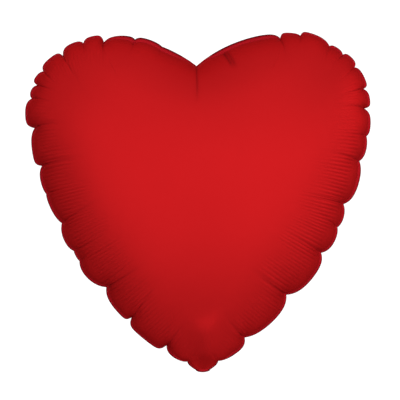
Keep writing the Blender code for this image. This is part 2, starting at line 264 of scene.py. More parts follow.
def half_rim(shape, puckers):
    """Rim points of one half from the cleft to the neck's pucker.

    Also the way outward at each, its run along the smooth outline, and how far it is drawn in.
    """
    points, run, outward = smooth_half(shape)
    stops = np.concatenate([[0], pucker_runs(shape, puckers)])
    at_cleft = (0, 0, 0, 10, 10, 0, 0)
    rows = [at_cleft] + puckers
    places, drawn = [], []
    for start, stop, row, after in zip(stops, stops[1:], rows, rows[1:]):
        span = stop - start
        count = 4 * max(2, math.ceil(span / shape.spacing / 4))
        even = np.arange(count + 1) / count
        share = 0.35 * even + 0.65 * (0.5 - 0.5 * np.cos(np.pi * even))
        before_pull = pull(share * span, row[4] * MM, span)
        after_pull = pull((1 - share) * span, after[3] * MM, span)
        crest = after[2]
        depth = crest + (row[1] - crest) * before_pull + (after[1] - crest) * after_pull
        places.append(start + share[:-1] * span)
        drawn.append(depth[:-1] * MM)
    places = np.append(np.concatenate(places), stops[-1])
    drawn = np.append(np.concatenate(drawn), puckers[-1][1] * MM)[:, None]
    at = np.stack([np.interp(places, run, points[:, axis]) for axis in (0, 1)], axis=1)
    away = np.stack([np.interp(places, run, outward[:, axis]) for axis in (0, 1)], axis=1)
    # below the cleft the ways inward fan out evenly
    away[:, 0] *= smooth_step(places, 0, 45 * MM)
    away /= np.linalg.norm(away, axis=1)[:, None]
    return at - away * drawn, away, places, drawn[:, 0]


def neck_rim(shape, pucker):
    """Rim points round the neck's lobe, the way outward, and the numbers of the fold's end points."""
    rise = pucker[1] + shape.tip_trim
    radius = (pucker[0] ** 2 + rise**2) / (2 * rise)
    centre = np.array([0, radius - shape.tip_trim])
    start = math.atan2(pucker[0], centre[1] - pucker[1])
    fold = math.acos(centre[1] / radius)
    side = np.linspace(start, fold, 17)[1:]
    across = np.linspace(fold, -fold, 17)[1:-1]
    angle = np.concatenate([side, across, -side[::-1]])
    away = np.stack([np.sin(angle), -np.cos(angle)], axis=1)
    rim = centre + away * radius
    return rim, away, len(side) - 1, len(side) + len(across) - 1


def heart_rim(shape, relief):
    """Closed loops, clockwise from the cleft: rim, way outward, drawn depth, curl and width.

    Also the numbers of the first and last point on the fold.
    """
    right, right_away, right_run, right_drawn = half_rim(shape, RIGHT_PUCKERS)
    left, left_away, left_run, left_drawn = half_rim(shape, LEFT_PUCKERS)
    lobe, lobe_away, first, last = neck_rim(shape, right[-1])
    mirror = np.array([-1, 1])
    rim = np.vstack([right, lobe, left[:0:-1] * mirror])
    away = np.vstack([right_away, lobe_away, left_away[:0:-1] * mirror])
    run = np.concatenate([right_run, np.full(len(lobe), right_run[-1]), left_run[:0:-1]])
    eased = right_drawn[-1] * np.abs(np.linspace(1, -1, len(lobe) + 2)[1:-1]) ** 2
    drawn = np.concatenate([right_drawn, eased, left_drawn[:0:-1]])
    end = right_run[-1]
    opened = smooth_step(run, 2 * MM, 34 * MM) * (1 - smooth_step(run, 78 * MM, 112 * MM))
    cleft = math.pi * (1 - smooth_step(run, 0, 50 * MM))
    curl = np.maximum(relief.curl_side, cleft) * (1 - opened) + relief.curl_top * opened
    curl += math.radians(14) * wobble(np.arange(len(rim)) / 55, 2) * smooth_step(run, 40 * MM, 90 * MM)
    at_neck = smooth_step(run, end - 26 * MM, end - 6 * MM)
    curl *= 1 - at_neck
    wide = shape.rim_width + (shape.neck_rim - shape.rim_width) * at_neck
    return rim, away, drawn, np.maximum(curl, 0.02), wide, len(right) + first, len(right) + last


def rim_reach(wide, curl, share):
    """How far the curled rim reaches outward and to the back at a share of its width from the seam."""
    return wide * np.sin(curl * share) / curl, wide * (1 - np.cos(curl * share)) / curl


def seam_loop(rim, away, curl, wide):
    """The seam line, so far inside the rim's outline as the curled rim reaches out."""
    widest = np.minimum(1, math.pi / 2 / curl)
    return rim - away * rim_reach(wide, curl, widest)[0][:, None]


# ---- Domes and their relief ----


def inside_share(points, seam):
    """How deep each point lies inside the seam: one over the sum of its mean value weights."""
    shares = []
    for some in np.array_split(points, max(1, len(points) // 1500)):
        ray = seam[None] - some[:, None]
        distance = np.linalg.norm(ray, axis=2)
        after = np.roll(ray, -1, axis=1)
        cross = ray[..., 0] * after[..., 1] - ray[..., 1] * after[..., 0]
        dot = (ray * after).sum(axis=2)
        tangent = cross / (distance * np.roll(distance, -1, axis=1) + dot)
        shares.append(1 / abs(((tangent + np.roll(tangent, 1, axis=1)) / distance).sum(axis=1)))
    return np.concatenate(shares)


def free_dome(shape, relief, points, seam, peak):
    """Height that the gas would give the skin at each point if nothing else held it."""
    return (shape.depth / 2 - relief.gap) * (inside_share(points, seam) / peak) ** shape.fullness


def held_dome(dome, points, low, slope, spread):
    """Dome heights where the neck holds the skin down; spread is how fast that eases sideways."""
    rise = np.hypot(np.maximum(points[..., 1] - low, 0.1 * MM), spread * points[..., 0])
    return (np.maximum(dome, 1e-6) ** -3 + (slope * rise) ** -3) ** (-1 / 3)


def skin_grid(shape, relief):
    """Rows of points from the seam inward along curved spokes, with their heights, made once."""
    if "grid" in MADE:
        return MADE["grid"]
    rim, away, drawn, curl, wide, first, last = heart_rim(shape, relief)
    seam = seam_loop(rim, away, curl, wide)
    middle = np.array([0, shape.middle_z])
    # the spokes start square to the smooth outline, and the puckers' pull on them fades inward
    start = seam + away * drawn[:, None]
    up = smooth_step(start[:, 1], 0, 60 * MM)[:, None]
    turn = start - away * (0.008 + 0.024 * up)
    near = NEAR_END * (np.arange(1, NEAR_ROWS + 1) / NEAR_ROWS) ** 1.9
    far = np.linspace(near[-1], 1, FAR_ROWS)[1:-1]
    spoke = [
        (1 - t) ** 2 * start + 2 * t * (1 - t) * turn + t * t * middle
        - away * drawn[:, None] * max(0, 1 - t / near[-1]) for t in (0, *near, *far)
    ]
    outer = np.array(spoke[:len(near) + 1])
    inner = np.array(spoke[len(near) + 1:])[:, ::INNER_STEP]
    # the deeper rows don't feel each point of the seam
    coarse = seam[::2]
    line = [(0, z) for z in np.linspace(seam[:, 1].min(), shape.height - shape.cleft_drop, 50)[1:-8]]
    peak = inside_share(np.array(line), coarse).max()
    outer_dome = np.zeros(outer.shape[:2])
    for rows, loop in ((slice(1, SEAM_ROWS), seam), (slice(SEAM_ROWS, None), coarse)):
        some = outer[rows]
        outer_dome[rows] = free_dome(shape, relief, some.reshape(-1, 2), loop, peak).reshape(some.shape[:2])
    inner_dome = free_dome(shape, relief, inner.reshape(-1, 2), coarse, peak).reshape(inner.shape[:2])
    foot, depth = foot_and_depth(shape, outer.reshape(-1, 2))
    MADE["grid"] = {
        "rim": rim, "away": away, "curl": curl, "wide": wide, "fold": (first, last), "seam": seam,
        "near": near, "outer": outer, "inner": inner, "outer_dome": outer_dome, "inner_dome": inner_dome,
        "top_dome": free_dome(shape, relief, middle[None], coarse, peak), "foot": foot, "depth": depth,
    }
    return MADE["grid"]


def foot_and_depth(shape, points):
    """For each point, its foot's signed run along the smooth outline and its depth inside it."""
    half, run, outward = smooth_half(shape)
    mirror = np.array([-1, 1])
    outline = np.vstack([half[::-1] * mirror, half])
    runs = np.concatenate([-run[::-1], run])
    normals = np.vstack([outward[::-1] * mirror, outward])
    feet, depths = [], []
    for some in np.array_split(points, max(1, len(points) // 2000)):
        away = some[:, None] - outline[None]
        near = (away**2).sum(axis=2).argmin(axis=1)
        offset = some - outline[near]
        normal = normals[near]
        feet.append(runs[near] + offset[:, 0] * normal[:, 1] - offset[:, 1] * normal[:, 0])
        depths.append(-(offset * normal).sum(axis=1))
    return np.concatenate(feet), np.concatenate(depths)


def smooth_step(value, low, high):
    """0 below low, 1 above high, and smooth between."""
    share = np.clip((value - low) / (high - low), 0, 1)
    return share * share * (3 - 2 * share)


def wobble(value, seed):
    """A smooth irregular wave between about -1 and 1, about once per unit."""
    waves = [(1.0, 1.0), (0.6, 1.73), (0.4, 2.91)]
    return sum(size * np.sin(rate * value * 2.1 + seed * (3.7 + rate)) for size, rate in waves) / 1.6


def signed_puckers(shape):
    """All puckers as (signed run, depth, crease length, ripple strength), from the left neck round."""
    rows = []
    for sign, puckers in ((-1, LEFT_PUCKERS), (1, RIGHT_PUCKERS)):
        for run, pucker in zip(pucker_runs(shape, puckers), puckers):
            rows.append((sign * run, pucker[1] * MM, pucker[5] * MM, pucker[6]))
    return sorted(rows)


def crease_relief(shape, relief, foot, depth, seed):
    """Sharp creases that run in from the puckers between two swells, most with a shorter one beside."""
    height = np.zeros_like(foot)
    for number, (run, drawn, reach, _) in enumerate(signed_puckers(shape)):
        side = 1 if wobble(number * 2.3, seed + 1) > 0 else -1
        for shift, share in ((0, 1.0), (3.4 * MM * side, 0.6 if reach > 12 * MM else 0)):
            if reach == 0 or share == 0:
                continue
            inward = depth - drawn - 3.5 * MM - abs(shift)
            slant = 0.22 * wobble(number * 1.3, seed)
            aside = abs(foot - run - shift - slant * inward)
            fade = np.exp(-((np.clip(inward, 0, None) / (reach * share)) ** 2))
            fade *= smooth_step(inward, 0, 3 * MM)
            width = 1.2 * MM + 0.06 * np.clip(inward, 0, None)
            strength = relief.crease * share * (0.35 + 0.65 * drawn / (11.5 * MM))
            swell = 0.45 * np.exp(-((aside / (3.2 * width)) ** 2))
            height += strength * fade * (swell - np.exp(-aside / width))
    return height


def ripple_relief(shape, relief, foot, depth, seed):
    """Fine parallel ripples square to the seam, in groups of uneven length inside the lobes."""
    puckers = signed_puckers(shape)
    runs = np.array([row[0] for row in puckers])
    strengths = np.array([row[3] for row in puckers])
    # each row's strength holds for the lobe on the cleft's side of its pucker
    middles = runs - np.sign(runs) * 11 * MM
    order = np.argsort(middles)
    strength = np.interp(foot, middles[order], strengths[order])
    reach = (27 + 9 * wobble(foot / (16 * MM), seed)) * MM
    start = (11 + 3 * wobble(foot / (23 * MM), seed + 4)) * MM
    inside = depth - start
    window = smooth_step(inside, 0, 7 * MM) * np.exp(-((np.clip(inside - 6 * MM, 0, None) / reach) ** 2))
    bow = (0.10 + 0.08 * wobble(foot / (60 * MM), seed + 1)) * inside * -np.sign(foot)
    pitch = relief.ripple_pitch
    phase = 2 * math.pi * (foot + bow) / pitch + 1.2 * wobble(foot / (30 * MM), seed + 2)
    swell = 0.85 + 0.25 * wobble(foot / (5 * MM), seed + 3)
    wave = np.sin(phase) + 0.25 * np.sin(2 * phase + 1)
    return relief.ripple * strength * window * swell * wave


def middle_relief(shape, relief, points, side):
    """The valley below the cleft, and in front two short creases on a shoulder and a ridge off the neck."""
    cleft_z = shape.height - shape.cleft_drop - shape.rim_width
    below = np.clip(cleft_z - points[:, 1], 0, None)
    valley = np.exp(-abs(points[:, 0]) / (0.8 * MM + 0.03 * below))
    height = -relief.valley * (valley * (1 - smooth_step(below, 14 * MM, 42 * MM)))
    if side > 0:
        return height
    for start, end, size in SHOULDER_CREASES:
        start, end = np.array(start) * MM, np.array(end) * MM
        way = (end - start) / np.linalg.norm(end - start)
        along = (points - start) @ way
        aside = abs((points - start) @ np.array([-way[1], way[0]]))
        fade = smooth_step(along, -4 * MM, 1 * MM) * smooth_step(-along, -23 * MM, -12 * MM)
        height -= size * MM * fade * np.exp(-aside / (1.2 * MM))
    up = points[:, 1]
    ridge = np.exp(-(((points[:, 0] - 5 * MM) / (13 * MM)) ** 2))
    rise = smooth_step(up, 4 * MM, 26 * MM)
    height += relief.ridge * ridge * rise * (1 - smooth_step(up, 32 * MM, 115 * MM))
    return height


def under_tail(tail, points):
    """0 where the folded tail lies close over the back dome, and 1 away from it."""
    beside = smooth_step(abs(points[:, 0]), tail.width / 2 + 4 * MM, tail.width / 2 + 14 * MM)
    return np.maximum(beside, smooth_step(points[:, 1], 62 * MM, 80 * MM))


def flange_ring(shape, grid, share, proud):
    """A closed ring of points on the curled rim, proud of its middle plane to the front by a little."""
    out, back = rim_reach(grid["wide"], grid["curl"], share)
    turn = grid["curl"] * share
    out = out + proud * np.sin(turn)
    back = back - proud * np.cos(turn)
    flat = grid["seam"] + grid["away"] * out[:, None]
    return np.stack([flat[:, 0], back, flat[:, 1]], axis=1)


# ---- Foil sheets ----


def add_sheet(name, points, faces, material, smooth=True):
    """A mesh object from points and faces, at the origin."""
    mesh = bpy.data.meshes.new(name)
    mesh.from_pydata([tuple(point) for point in points], [], faces)
    mesh.validate()
    if smooth:
        mesh.shade_smooth()
    mesh.materials.append(material)
    sheet = bpy.data.objects.new(name, mesh)
    bpy.context.scene.collection.objects.link(sheet)
    return sheet


def add_values(sheet, name, values):
    """A number at every point, for a material to read."""
    attribute = sheet.data.attributes.new(name, "FLOAT", "POINT")
    attribute.data.foreach_set("value", np.asarray(values, np.float32))


def surface_normals(grid):
    """Unit normals of a grid of points that closes along its second axis."""
    down = np.gradient(grid, axis=0)
    across = (np.roll(grid, -1, axis=1) - np.roll(grid, 1, axis=1)) / 2
    normal = np.cross(across, down)
    return normal / np.maximum(np.linalg.norm(normal, axis=2), 1e-12)[..., None]


def tail_half_width(tail, fold_half, below):
    """Half the tail's width at a length below the fold."""
    share = np.sin(math.pi / 2 * np.clip(below / tail.neck, 0, 1))
    return fold_half + (tail.width / 2 - fold_half) * share


def fold_bow(edge, x, run):
    """How far the round fold hangs below its hinge line, across it and fading out above and below."""
    bend = FOLD_Y * FOLD_ANGLE
    fade = smooth_step(run, -10 * MM, 0) * (1 - smooth_step(run, bend, bend + 14 * MM))
    return np.interp(x, edge[::-1, 0], edge[::-1, 1]) * np.asarray(fade)[:, None]


def tail_path(offset, run):
    """Places (y, z) of a film that passes the fold at an offset in front of the seam plane."""
    radius = FOLD_Y + offset
    bend = radius * FOLD_ANGLE
    angle = np.clip(run / radius, 0, FOLD_ANGLE)
    below = np.maximum(run - bend, 0)
    up_at_neck = np.maximum(-run, 0)
    y = FOLD_Y - radius * np.cos(angle) + below * math.sin(FOLD_ANGLE)
    z = -radius * np.sin(angle) - below * math.cos(FOLD_ANGLE) + up_at_neck
    return y, z, below


def tail_strip(tail, relief, edge, side):
    """Points of the tail's ply below the rim's points on the fold; side is -1 at the front."""
    offset = -side * relief.gap
    fold_half = edge[0, 0]
    bend = (FOLD_Y + offset) * FOLD_ANGLE
    reach = bend + tail.length
    run = reach * (np.arange(1, tail.rows + 1) / tail.rows) ** 1.25
    y, z, below = tail_path(offset, run)
    half = tail_half_width(tail, fold_half, below)
    share = edge[:, 0] / fold_half
    inside = smooth_step(tail.width / 2 - tail.seal - abs(share) * half[:, None], 0, 4 * MM)
    # only the outer ply lifts at the mouth, so the inner one stays clear of the hinge line
    lifted = tail.mouth if side < 0 else 0
    open_mouth = lifted * smooth_step(below, 0.5 * tail.length, tail.length)[:, None] * inside
    pleat = np.cos(share * fold_half * 2 * math.pi / (2.4 * MM))
    pleats = 0.08 * MM * np.exp(-below / (10 * MM))[:, None] * pleat
    waves = 0.10 * MM * wobble(below[:, None] / (9 * MM) + 1.5 * share, 5 + side) * inside
    waves = waves * smooth_step(below, 4 * MM, 20 * MM)[:, None]
    lift = -side * (open_mouth + waves) + pleats * smooth_step(run, 0, 3 * MM)[:, None]
    lift_y, lift_z = -math.cos(FOLD_ANGLE), -math.sin(FOLD_ANGLE)
    strip = np.zeros((len(run), len(edge), 3))
    strip[..., 0] = share * half[:, None]
    strip[..., 1] = y[:, None] + lift * lift_y
    strip[..., 2] = z[:, None] + lift * lift_z + fold_bow(edge, edge[:, 0], run)
    pinched = 1 - smooth_step(run, 1.5 * MM, 5 * MM)[:, None]
    return strip, 0.75 * np.maximum(1 - inside, pinched)


def ring_faces(outer_start, inner_start, count):
    """Quads between two closed rings of the same count."""
    here = np.arange(count)
    after = (here + 1) % count
    corners = [outer_start + here, outer_start + after, inner_start + after, inner_start + here]
    return np.stack(corners, axis=1).tolist()


def dome_heights(shape, relief, grid, side):
    """Heights of the near rows, the far rows and the middle over the seam, held down at the neck."""
    low = grid["seam"][:, 1].min()
    hold = (low, shape.front_slope, shape.neck_spread)
    if side > 0:
        hold = (shape.back_hold, shape.back_slope, 0)
    outer = held_dome(grid["outer_dome"], grid["outer"], *hold)
    outer[0] = 0
    inner = held_dome(grid["inner_dome"], grid["inner"], *hold)
    top = held_dome(grid["top_dome"], np.array([[0, shape.middle_z]]), *hold)
    full = (shape.depth / 2 - relief.gap) / inner.max()
    return outer * full, inner * full, top * full


def creased_skin(shape, relief, tail, grid, heights, side):
    """The near rows with their creases and ripples, and how deep each point lies in one, which weights the
    painted shade in creases and ripple valleys.
    """
    outer, near = grid["outer"], grid["near"]
    skin = np.stack([outer[..., 0], side * (relief.gap + heights), outer[..., 1]], axis=2)
    normal = surface_normals(skin) * side
    seed = 3 + side
    bumps = crease_relief(shape, relief, grid["foot"], grid["depth"], seed)
    bumps += middle_relief(shape, relief, outer.reshape(-1, 2), side)
    ripples = ripple_relief(shape, relief, grid["foot"], grid["depth"], seed)
    if side > 0:
        clear = under_tail(tail, outer.reshape(-1, 2))
        bumps, ripples = bumps * clear, ripples * clear
    # painted shade: how deep each point lies in a crease, and a little how deep it lies in a ripple valley,
    # sets how far its colour is darkened
    fold = np.clip(-bumps / (1.5 * MM), 0, 1) + 0.27 * np.clip(-ripples / relief.ripple, 0, 1)
    bumps += ripples
    fade = (1 - smooth_step(near, *RELIEF_FADE)) * smooth_step(near, 0, 0.006)
    fade = np.concatenate([[0], fade])[:, None]
    skin += normal * (bumps.reshape(outer.shape[:2]) * fade)[..., None]
    return skin, fold.reshape(outer.shape[:2]) * fade


def build_foil_sheet(name, side, shape, relief, tail, material):
    """One foil sheet: rim, dome and tail ply. Side is -1 for the front and 1 for the back."""
    grid = skin_grid(shape, relief)
    first, last = grid["fold"]
    count = len(grid["rim"])
    outer_heights, inner_heights, top_height = dome_heights(shape, relief, grid, side)
    # folded is the painted shade in creases and ripple valleys, for the material to darken the colour by
    skin, folded = creased_skin(shape, relief, tail, grid, outer_heights, side)

    # the rim, from its edge in to the seam, and the near rows of the dome
    points = [flange_ring(shape, grid, share, -side * relief.gap) for share in RIM_SHARES]
    sealed = np.ones(count)
    sealed[first + 3:last - 2] = 0.7
    # the visible edge is where the rim has turned a quarter round; the seal values rise towards it, to
    # paint shade along the outline
    seen = np.maximum(1, grid["curl"] / (math.pi / 2))
    seal = [sealed * (0.5 + 0.5 * np.minimum(1, share * seen) ** 2) for share in RIM_SHARES]
    points += list(skin)
    seal += [sealed * 0.5] + [np.zeros(count)] * (len(skin) - 1)
    folded = np.append(np.zeros(len(RIM_SHARES) * count), folded)
    faces = []
    for number in range(len(points) - 1):
        faces += ring_faces(number * count, (number + 1) * count, count)

    # the far rows and the middle
    start = (len(points) - 1) * count
    far_start = start + count
    few = count // INNER_STEP
    for number in range(few):
        edge = [start + (INNER_STEP * number + step) % count for step in range(INNER_STEP + 1)]
        faces.append(edge + [far_start + (number + 1) % few, far_start + number])
    for ring, ring_heights in zip(grid["inner"], inner_heights):
        points.append(np.stack([ring[:, 0], side * (relief.gap + ring_heights), ring[:, 1]], axis=1))
    for number in range(len(inner_heights) - 1):
        faces += ring_faces(far_start + number * few, far_start + (number + 1) * few, few)
    top = far_start + len(inner_heights) * few
    points.append(np.array([[0, side * (relief.gap + top_height[0]), shape.middle_z]]))
    last_ring = top - few
    faces += [[last_ring + number, last_ring + (number + 1) % few, top] for number in range(few)]
    seal.append(np.zeros(len(inner_heights) * few + 1))

    # the tail's ply
    edge = points[0][first:last + 1][:, [0, 2]]
    strip, strip_seal = tail_strip(tail, relief, edge, side)
    width = strip.shape[1]
    tail_start = top + 1
    rows = [np.arange(first, last + 1)]
    rows += list(tail_start + np.arange(strip.shape[0] * width).reshape(-1, width))
    for inside_row, outside_row in zip(rows, rows[1:]):
        corners = [outside_row[:-1], outside_row[1:], inside_row[1:], inside_row[:-1]]
        faces += np.stack(corners, axis=1).tolist()
    points.append(strip.reshape(-1, 3))
    seal.append(strip_seal.reshape(-1))
    if side < 0:
        faces = [face[::-1] for face in faces]
    sheet = add_sheet(name, np.vstack(points), faces, material)
    add_values(sheet, "seal", np.concatenate(seal))
    # the "fold" values are the painted shade in creases and ripple valleys
    add_values(sheet, "fold", np.append(folded, np.zeros(len(sheet.data.vertices) - len(folded))))
    return sheet


def build_band(name, rows, half, material):
    """A thin flat band between two edges: rows of (outer edge, inner edge, way to its front)."""
    outside, inside, front = (np.array(part) for part in rows)
    corners = [outside + front * half, outside - front * half, inside - front * half, inside + front * half]
    points = np.stack(corners, axis=1).reshape(-1, 3)
    faces = [[0, 1, 2, 3]]
    for row in range(len(outside) - 1):
        for corner in range(4):
            after = (corner + 1) % 4
            here, there = 4 * row, 4 * row + 4
            faces.append([here + corner, there + corner, there + after, here + after])
    end = 4 * (len(outside) - 1)
    faces.append([end + 3, end + 2, end + 1, end])
    band = add_sheet(name, points, faces, material, smooth=False)
    select_only(band)
    bpy.ops.object.mode_set(mode="EDIT")
    bpy.ops.mesh.select_all(action="SELECT")
    bpy.ops.mesh.normals_make_consistent(inside=False)
    bpy.ops.object.mode_set(mode="OBJECT")
    return band


def select_only(piece):
    """Make a piece the only selected and active object."""
    bpy.ops.object.select_all(action="DESELECT")
    piece.select_set(True)
    bpy.context.view_layer.objects.active = piece


def build_rim_band(shape, relief, material):
    """The fused edge of the heart, from one end of the fold round to the other."""
    grid = skin_grid(shape, relief)
    first, last = grid["fold"]
    # it stops short of the fold at both ends, clear of the tail's edges
    order = np.r_[last + 3:len(grid["rim"]), 0:first - 1]
    outside = flange_ring(shape, grid, 1.03, 0)[order]
    inside = flange_ring(shape, grid, 0.3, 0)[order]
    front = flange_ring(shape, grid, 1.0, 1.0)[order] - flange_ring(shape, grid, 1.0, 0.0)[order]
    return build_band("sealed_rim_edge", (outside, inside, front), relief.gap * 0.6, material)


def build_tail_band(name, side, shape, relief, tail, material):
    """The fused edge down one side of the tail; side is -1 for the left and 1 for the right."""
    grid = skin_grid(shape, relief)
    fold_half = grid["rim"][grid["fold"][0], 0]
    bend = FOLD_Y * FOLD_ANGLE
    run = bend * 0.5 + (bend * 0.5 + tail.length) * (np.arange(60) / 59) ** 1.2
    y, z, below = tail_path(0, run)
    half = tail_half_width(tail, fold_half, below)
    inner_half = half - np.minimum(tail.seal, 0.35 * half)
    angle = np.clip(run / FOLD_Y, 0, FOLD_ANGLE)
    front = np.stack([0 * angle, -np.cos(angle), -np.sin(angle)], axis=1)
    outside = np.stack([side * (half + 0.12 * MM), y, z], axis=1)
    inside = np.stack([side * inner_half, y, z], axis=1)
    return build_band(name, (outside, inside, front), relief.gap * 0.6, material)


def build_valve_film(name, offset, low_run, high_run, shape, relief, tail, material):
    """One clear film of the valve from high in the neck, round the fold and down the tail."""
    grid = skin_grid(shape, relief)
    edge_half = grid["rim"][grid["fold"][0], 0]
    fold_half = edge_half - 1.6 * MM
    run = np.linspace(low_run, high_run, 120)
    y, z, below = tail_path(offset, run)
    above = np.maximum(-run, 0)
    widen = 1 - (1 - np.clip(above / VALVE_WIDEN, 0, 1)) ** 2
    half = fold_half + (VALVE_HALF - fold_half) * widen
    tail_half = np.minimum(tail_half_width(tail, fold_half, below) - 0.2 * MM, VALVE_HALF)
    half = np.where(run < 0, half, tail_half)
    share = np.linspace(-1, 1, 21)
    points = np.zeros((len(run), len(share), 3))
    points[..., 0] = share * half[:, None]
    points[..., 1] = y[:, None]
    first, last = grid["fold"]
    edge = flange_ring(shape, grid, 1, 0)[first:last + 1][:, [0, 2]]
    foil_half = np.where(run < 0, edge_half, tail_half_width(tail, edge_half, below))[:, None]
    points[..., 2] = z[:, None] + fold_bow(edge, points[..., 0] * edge_half / foil_half, run)
    # the films lie together with a faint wave, 7 mm long
    points[..., 1] += 0.04 * MM * np.sin(above * 900)[:, None] * np.cos(share * 5)
    faces = []
    for row in range(len(run) - 1):
        for here in range(len(share) - 1):
            corner = row * len(share) + here
            faces.append([corner, corner + 1, corner + 1 + len(share), corner + len(share)])
    return add_sheet(name, points.reshape(-1, 3), faces, material)


def fold_blend(piece):
    """Bake a film's transform into its points."""
    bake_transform(piece)


# ---- Materials ----


def from_hex(code):
    """An sRGB hex colour as linear RGBA."""
    channels = [int(code[at:at + 2], 16) / 255 for at in (1, 3, 5)]
    linear = [c / 12.92 if c <= 0.04045 else ((c + 0.055) / 1.055) ** 2.4 for c in channels]
    return (*linear, 1.0)


def add_node(tree, kind, inputs=None, **settings):
    """A node with its settings, each input given a value or the socket that feeds it."""
    node = tree.nodes.new(kind)
    for name, value in settings.items():
        setattr(node, name, value)
    for name, value in (inputs or {}).items():
        if isinstance(value, bpy.types.NodeSocket):
            tree.links.new(value, node.inputs[name])
        else:
            node.inputs[name].default_value = value
    return node


def new_material(name):
    """A new material, its node tree and its Principled shader."""
    material = bpy.data.materials.new(name)
    material.use_nodes = True
    tree = material.node_tree
    return material, tree, tree.nodes["Principled BSDF"]


def satin_foil(finish):
    """Metallised nylon film with a satin red print: a soft, wide gleam from the metal under it."""
    material, tree, shader = new_material("satin metallised nylon film")
    place = add_node(tree, "ShaderNodeTexCoord").outputs["Object"]
    drift = add_node(tree, "ShaderNodeTexNoise", {"Vector": place, "Scale": 14.0, "Detail": 2.0})
    red = add_node(
        tree, "ShaderNodeMix", {"Factor": drift.outputs["Fac"], "A": from_hex(finish.foil_deep),
                                "B": from_hex(finish.foil)}, data_type="RGBA",
    )
    # painted shade and painted dark reflection: creases and ripple valleys are darkened in the colour,
    # towards the crease colour
    fold = add_node(tree, "ShaderNodeAttribute", attribute_name="fold").outputs["Fac"]
    fold = add_node(tree, "ShaderNodeMapRange", {"Value": fold, "To Max": 0.6}).outputs["Result"]
    red = add_node(
        tree, "ShaderNodeMix", {"Factor": fold, "A": red.outputs["Result"],
                                "B": from_hex(finish.crease)}, data_type="RGBA",
    )
    # the fused rim takes a darker, cooler crimson: partly the seal's own look, partly painted shade
    sealed = add_node(tree, "ShaderNodeAttribute", attribute_name="seal").outputs["Fac"]
    fused = add_node(tree, "ShaderNodeMapRange", {"Value": sealed, "From Min": 0.0, "From Max": 0.4})
    red = add_node(
        tree, "ShaderNodeMix", {"Factor": fused.outputs["Result"], "A": red.outputs["Result"],
                                "B": from_hex(finish.rim)}, data_type="RGBA",
    )
    # painted shade: the rim's outer part, out to where it goes edge-on, and partly the tail's seals, are
    # darkened towards the edge colour
    painted_rim_shade = add_node(tree, "ShaderNodeMapRange", {"Value": sealed, "From Min": 0.62, "From Max": 0.95})
    red = add_node(
        tree, "ShaderNodeMix", {"Factor": painted_rim_shade.outputs["Result"], "A": red.outputs["Result"],
                                "B": from_hex(finish.edge)}, data_type="RGBA",
    )
    tree.links.new(red.outputs["Result"], shader.inputs["Base Color"])
    # grain of the satin print, about 0.6 mm
    grain = add_node(tree, "ShaderNodeTexNoise", {"Vector": place, "Scale": 1600.0, "Detail": 2.0})
    rough = add_node(
        tree, "ShaderNodeMapRange", {"Value": grain.outputs["Fac"], "To Min": 0.44, "To Max": 0.54}
    )
    tree.links.new(rough.outputs["Result"], shader.inputs["Roughness"])
    # pressed crosshatch of the heated jaws, 1.2 mm apart
    turned = add_node(
        tree, "ShaderNodeMapping", {"Vector": place, "Rotation": (0, math.radians(45), 0)}
    ).outputs["Vector"]
    hatch = [
        add_node(
            tree, "ShaderNodeTexWave", {"Vector": turned, "Scale": 2 * math.pi / 20 / (1.2 * MM)},
            bands_direction=way,
        ).outputs["Fac"]
        for way in ("X", "Z")
    ]
    pressed = add_node(tree, "ShaderNodeMath", {0: hatch[0], 1: hatch[1]}, operation="MAXIMUM").outputs[0]
    pressed = add_node(
        tree, "ShaderNodeMath", {0: pressed, 1: fused.outputs["Result"]}, operation="MULTIPLY"
    ).outputs[0]
    bump = add_node(tree, "ShaderNodeBump", {"Height": pressed, "Strength": 0.5, "Distance": 0.1 * MM})
    tree.links.new(bump.outputs["Normal"], shader.inputs["Normal"])
    shader.inputs["Metallic"].default_value = 0.4
    # the lacquer over the print takes the white out of what it mirrors where it turns away
    shader.inputs["Specular IOR Level"].default_value = 0.0
    shader.inputs["Specular Tint"].default_value = from_hex(finish.edge)
    return material


def outline_shade_edge(finish):
    """Cut and fused edge of the film, coloured a dark red as painted shade along the outline."""
    material, _, shader = new_material("film edge with painted outline shade")
    shader.inputs["Base Color"].default_value = from_hex(finish.edge)
    shader.inputs["Metallic"].default_value = 0.3
    shader.inputs["Roughness"].default_value = 0.5
    return material


def clear_film(finish):
    """Clear polyethylene valve film: soft, slightly milky, with a faint gloss."""
    material, _, shader = new_material("clear polyethylene valve film")
    shader.inputs["Base Color"].default_value = from_hex(finish.valve)
    shader.inputs["Roughness"].default_value = 0.25
    shader.inputs["Alpha"].default_value = 0.35
    return material


def named_material(make, finish):
    """The material that a function makes, made only once."""
    key = make.__name__
    if key not in MADE:
        MADE[key] = make(finish)
    return MADE[key]


# ---- Operators ----


class BALLOON_OT_seals(bpy.types.Operator):
    """Build the fused edges round the heart and down the tail"""

    bl_idname = "balloon.seals"
    bl_label = "Sealed Edges"

    def execute(self, context):
        scene = context.scene
        shape, relief, tail = scene.heart_shape, scene.film_relief, scene.tail_shape
        # the edge bands are coloured dark as painted shade along the outline
        edge = named_material(outline_shade_edge, scene.balloon_finish)
        band = build_rim_band(shape, relief, edge)
        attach(band, "envelope")
        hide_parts("rim_seal")
        for name, side, node in (
            ("tail_edge_left", -1, "tail_seal_left"), ("tail_edge_right", 1, "tail_seal_right"),
        ):
            band = build_tail_band(name, side, shape, relief, tail, edge)
            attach(band, "tail")
            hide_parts(node)
        return {"FINISHED"}


